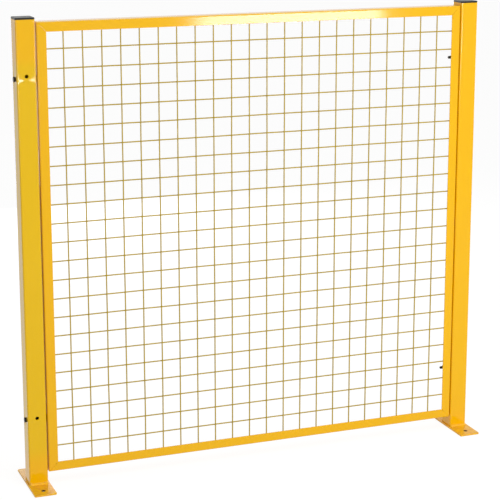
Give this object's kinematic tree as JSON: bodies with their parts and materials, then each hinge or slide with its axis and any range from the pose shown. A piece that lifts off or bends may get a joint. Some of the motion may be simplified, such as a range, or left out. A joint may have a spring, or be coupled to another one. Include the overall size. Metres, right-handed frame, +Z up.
{
  "type": "wire mesh partition panel",
  "caption": "Free-standing wire mesh partition: welded mesh in a mitred angle frame, bolted between square tube posts with base plates and end caps.",
  "frame": {"origin": "on the floor, under the middle of the panel and of the posts' depth", "axes": "+X along the panel to the right seen from the front, +Y to the back, +Z up"},
  "size_m": [1.324, 0.2032, 1.255],
  "materials": {
    "powder_coat": "glossy safety-yellow powder coat on steel",
    "cap_plastic": "black moulded polyethylene",
    "black_steel": "black oxide steel"
  },
  "bodies": {
    "root": {"left_base_plate": "powder_coat", "left_post": "powder_coat", "left_front_weld": "powder_coat", "left_back_weld": "powder_coat", "left_post_cap": "cap_plastic", "right_base_plate": "powder_coat", "right_post": "powder_coat", "right_front_weld": "powder_coat", "right_back_weld": "powder_coat", "right_post_cap": "cap_plastic", "frame_top_rail": "powder_coat", "frame_bottom_rail": "powder_coat", "frame_left_stile": "powder_coat", "frame_right_stile": "powder_coat", "wire_mesh": "powder_coat", "upper_left_bolt": "black_steel", "upper_left_spacer": "black_steel", "upper_left_washer": "black_steel", "upper_left_nut": "black_steel", "lower_left_bolt": "black_steel", "lower_left_spacer": "black_steel", "lower_left_washer": "black_steel", "lower_left_nut": "black_steel", "upper_right_bolt": "black_steel", "upper_right_spacer": "black_steel", "upper_right_washer": "black_steel", "upper_right_nut": "black_steel", "lower_right_bolt": "black_steel", "lower_right_spacer": "black_steel", "lower_right_washer": "black_steel", "lower_right_nut": "black_steel"}
  },
  "joints": []
}
